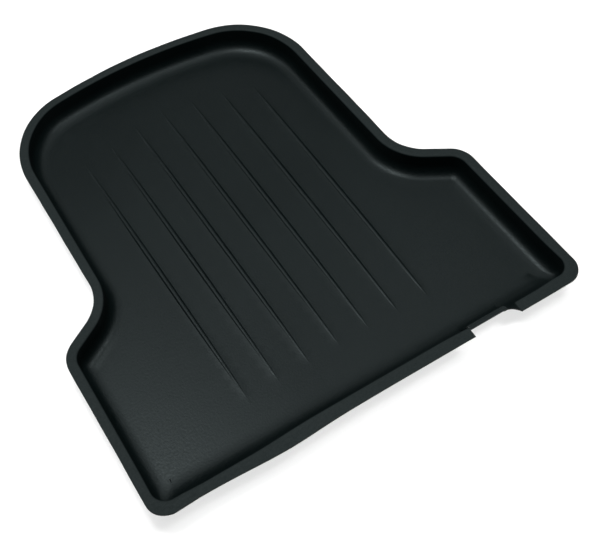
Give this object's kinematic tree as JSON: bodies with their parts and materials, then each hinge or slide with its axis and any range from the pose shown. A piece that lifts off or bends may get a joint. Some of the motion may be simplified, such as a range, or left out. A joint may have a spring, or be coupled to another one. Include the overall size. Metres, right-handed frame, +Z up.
{
  "type": "truck bed liner",
  "caption": "Drop-in bed liner tray: formed plastic sheet with an outward rim, upright walls, a ribbed floor, a rounded end and a rim relief, on thin grip pads.",
  "frame": {"origin": "middle of the tray's plan, on the surface that the grip pads stand on", "axes": "+Z up, +Y from the straight front edge to the rounded end, +X to the right, towards the side with the rim relief"},
  "size_m": [0.9976, 1.0339, 0.059],
  "materials": {
    "liner_plastic": "satin black, fine grain",
    "pad_rubber": "matte rubber"
  },
  "bodies": {
    "root": {"liner_tray": "liner_plastic", "grip_pad_front_left": "pad_rubber", "grip_pad_front_right": "pad_rubber", "grip_pad_middle_left": "pad_rubber", "grip_pad_middle_right": "pad_rubber", "grip_pad_rear_left": "pad_rubber", "grip_pad_rear_right": "pad_rubber"}
  },
  "joints": []
}
